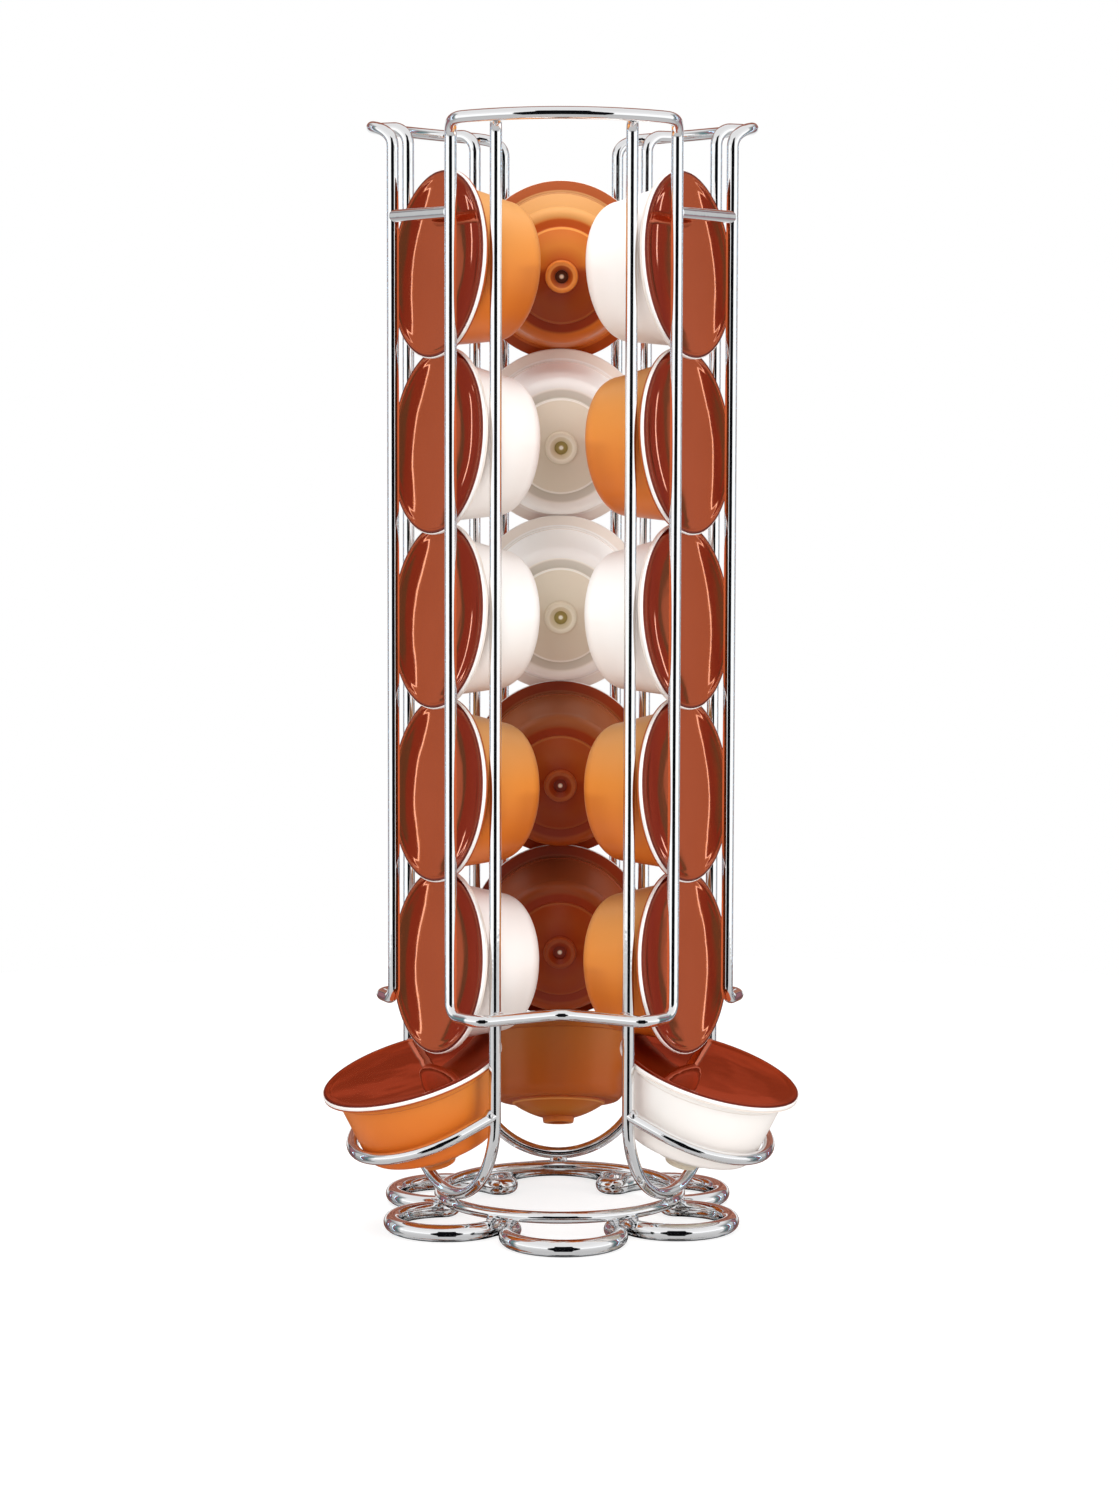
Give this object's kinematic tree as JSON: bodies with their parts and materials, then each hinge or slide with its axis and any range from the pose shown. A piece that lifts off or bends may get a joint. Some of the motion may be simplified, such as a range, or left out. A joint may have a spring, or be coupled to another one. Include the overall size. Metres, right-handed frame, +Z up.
{
  "type": "coffee capsule dispenser",
  "caption": "Freestanding chromed wire tower that stores coffee capsules on edge in upright columns and offers the lowest capsule of each in a sloping cradle hoop.",
  "frame": {"origin": "centre of the part's outline seen from above, at the level of the table", "axes": "+Z up, -Y towards the front, where one retaining frame faces the viewer, +X to the viewer's right"},
  "size_m": [0.1382, 0.1327, 0.3228],
  "materials": {
    "chrome_wire": "polished chrome plate",
    "orange_cup": "satin moulded plastic, burnt orange",
    "white_cup": "satin moulded plastic, slightly translucent white",
    "lid_film": "glossy red-brown sealing film"
  },
  "bodies": {
    "stand": {"base_flower_wire": "chrome_wire", "base_ring": "chrome_wire", "front_retaining_frame": "chrome_wire", "back_right_retaining_frame": "chrome_wire", "back_left_retaining_frame": "chrome_wire", "left_column_guide": "chrome_wire", "left_top_crossbar": "chrome_wire", "left_cradle_hoop": "chrome_wire", "right_column_guide": "chrome_wire", "right_top_crossbar": "chrome_wire", "right_cradle_hoop": "chrome_wire", "back_column_guide": "chrome_wire", "back_top_crossbar": "chrome_wire", "back_cradle_hoop": "chrome_wire"},
    "left_cradle": {"left_cradle_cup": "orange_cup", "left_cradle_lid": "lid_film"},
    "left_stack_1": {"left_stack_1_cup": "white_cup", "left_stack_1_lid": "lid_film"},
    "left_stack_2": {"left_stack_2_cup": "orange_cup", "left_stack_2_lid": "lid_film"},
    "left_stack_3": {"left_stack_3_cup": "white_cup", "left_stack_3_lid": "lid_film"},
    "left_stack_4": {"left_stack_4_cup": "white_cup", "left_stack_4_lid": "lid_film"},
    "left_stack_5": {"left_stack_5_cup": "orange_cup", "left_stack_5_lid": "lid_film"},
    "right_cradle": {"right_cradle_cup": "white_cup", "right_cradle_lid": "lid_film"},
    "right_stack_1": {"right_stack_1_cup": "orange_cup", "right_stack_1_lid": "lid_film"},
    "right_stack_2": {"right_stack_2_cup": "orange_cup", "right_stack_2_lid": "lid_film"},
    "right_stack_3": {"right_stack_3_cup": "white_cup", "right_stack_3_lid": "lid_film"},
    "right_stack_4": {"right_stack_4_cup": "orange_cup", "right_stack_4_lid": "lid_film"},
    "right_stack_5": {"right_stack_5_cup": "white_cup", "right_stack_5_lid": "lid_film"},
    "back_cradle": {"back_cradle_cup": "orange_cup", "back_cradle_lid": "lid_film"},
    "back_stack_1": {"back_stack_1_cup": "orange_cup", "back_stack_1_lid": "lid_film"},
    "back_stack_2": {"back_stack_2_cup": "orange_cup", "back_stack_2_lid": "lid_film"},
    "back_stack_3": {"back_stack_3_cup": "white_cup", "back_stack_3_lid": "lid_film"},
    "back_stack_4": {"back_stack_4_cup": "white_cup", "back_stack_4_lid": "lid_film"},
    "back_stack_5": {"back_stack_5_cup": "orange_cup", "back_stack_5_lid": "lid_film"}
  },
  "joints": [
    {"name": "left_cradle_pull", "type": "slide", "parent": "stand", "child": "left_cradle", "axis": [-0.2676, -0.1545, 0.9511], "range_m": [0, 0.01]},
    {"name": "left_lift_1", "type": "slide", "parent": "stand", "child": "left_stack_1", "axis": [0, 0, 1], "range_m": [0, 0.0106]},
    {"name": "left_lift_2", "type": "slide", "parent": "left_stack_1", "child": "left_stack_2", "axis": [0, 0, 1], "range_m": [0, 0.071]},
    {"name": "left_lift_3", "type": "slide", "parent": "left_stack_2", "child": "left_stack_3", "axis": [0, 0, 1], "range_m": [0, 0.071]},
    {"name": "left_lift_4", "type": "slide", "parent": "left_stack_3", "child": "left_stack_4", "axis": [0, 0, 1], "range_m": [0, 0.071]},
    {"name": "left_lift_5", "type": "slide", "parent": "left_stack_4", "child": "left_stack_5", "axis": [0, 0, 1], "range_m": [0, 0.071]},
    {"name": "right_cradle_pull", "type": "slide", "parent": "stand", "child": "right_cradle", "axis": [0.2676, -0.1545, 0.9511], "range_m": [0, 0.01]},
    {"name": "right_lift_1", "type": "slide", "parent": "stand", "child": "right_stack_1", "axis": [0, 0, 1], "range_m": [0, 0.0106]},
    {"name": "right_lift_2", "type": "slide", "parent": "right_stack_1", "child": "right_stack_2", "axis": [0, 0, 1], "range_m": [0, 0.071]},
    {"name": "right_lift_3", "type": "slide", "parent": "right_stack_2", "child": "right_stack_3", "axis": [0, 0, 1], "range_m": [0, 0.071]},
    {"name": "right_lift_4", "type": "slide", "parent": "right_stack_3", "child": "right_stack_4", "axis": [0, 0, 1], "range_m": [0, 0.071]},
    {"name": "right_lift_5", "type": "slide", "parent": "right_stack_4", "child": "right_stack_5", "axis": [0, 0, 1], "range_m": [0, 0.071]},
    {"name": "back_cradle_pull", "type": "slide", "parent": "stand", "child": "back_cradle", "axis": [0, 0.309, 0.9511], "range_m": [0, 0.01]},
    {"name": "back_lift_1", "type": "slide", "parent": "stand", "child": "back_stack_1", "axis": [0, 0, 1], "range_m": [0, 0.0106]},
    {"name": "back_lift_2", "type": "slide", "parent": "back_stack_1", "child": "back_stack_2", "axis": [0, 0, 1], "range_m": [0, 0.071]},
    {"name": "back_lift_3", "type": "slide", "parent": "back_stack_2", "child": "back_stack_3", "axis": [0, 0, 1], "range_m": [0, 0.071]},
    {"name": "back_lift_4", "type": "slide", "parent": "back_stack_3", "child": "back_stack_4", "axis": [0, 0, 1], "range_m": [0, 0.071]},
    {"name": "back_lift_5", "type": "slide", "parent": "back_stack_4", "child": "back_stack_5", "axis": [0, 0, 1], "range_m": [0, 0.071]}
  ],
  "couplings": [
    {"joint": "left_lift_1", "follows": "left_cradle_pull", "ratio": 1.0515},
    {"joint": "right_lift_1", "follows": "right_cradle_pull", "ratio": 1.0515},
    {"joint": "back_lift_1", "follows": "back_cradle_pull", "ratio": 1.0515}
  ]
}
